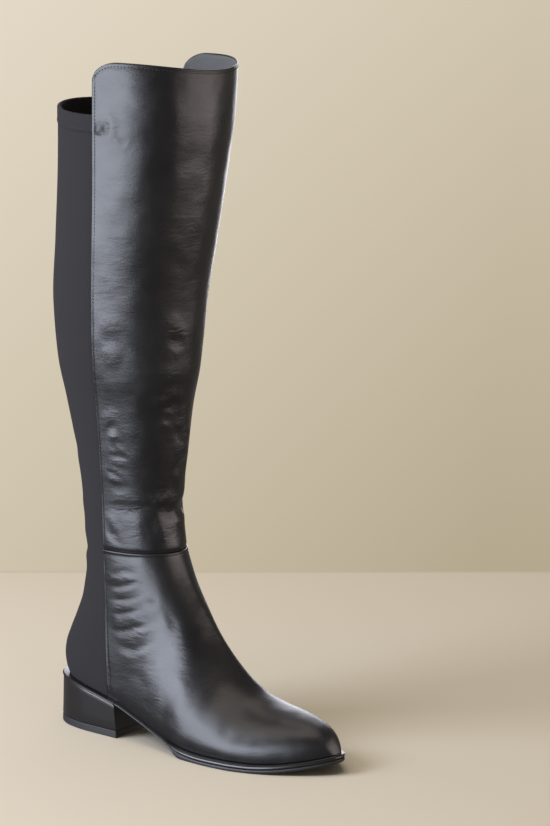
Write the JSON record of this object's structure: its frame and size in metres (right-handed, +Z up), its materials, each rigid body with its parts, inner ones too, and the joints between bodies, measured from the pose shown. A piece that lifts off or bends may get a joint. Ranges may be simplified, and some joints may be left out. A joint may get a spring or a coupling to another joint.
{
  "type": "knee-high boot",
  "caption": "Right knee-high boot with a leather front that rises above a stretch back, an inner side zip, an almond toe and a low block heel.",
  "frame": {"origin": "bottom centre of the bounding box, on the floor that the boot stands on", "axes": "+X from heel to toe, +Y to the inner side of the foot, +Z up the shaft"},
  "size_m": [0.272, 0.1378, 0.5425],
  "materials": {
    "stretch_panel": "matte knitted stretch",
    "upper_leather": "smooth, semi-gloss",
    "insole": "matte",
    "sole_edge": "painted edge, satin",
    "outsole": "satin",
    "heel": "painted stack, satin",
    "top_piece": "matte",
    "zip_tape": "woven, matte",
    "zip_chain": "satin coil",
    "zip_metal": "pale gold, polished",
    "pull_leather": "smooth, semi-gloss"
  },
  "bodies": {
    "boot": {"upper": "stretch_panel", "vamp": "upper_leather", "shaft_front": "upper_leather", "insole": "insole", "midsole": "sole_edge", "outsole": "outsole", "heel_block": "heel", "heel_top_piece": "top_piece", "zip_tape": "zip_tape", "zip_chain": "zip_chain", "zip_slider": "zip_metal"},
    "zip_pull": {"pull_ring": "zip_metal", "pull_strap": "pull_leather"}
  },
  "joints": [
    {"name": "zip_pull_swing", "type": "hinge", "parent": "boot", "child": "zip_pull", "pos_m": [-0.07578, 0.06611, 0.47782], "axis": [0.964, 0.2658, 0], "range_deg": [0, 150]}
  ]
}
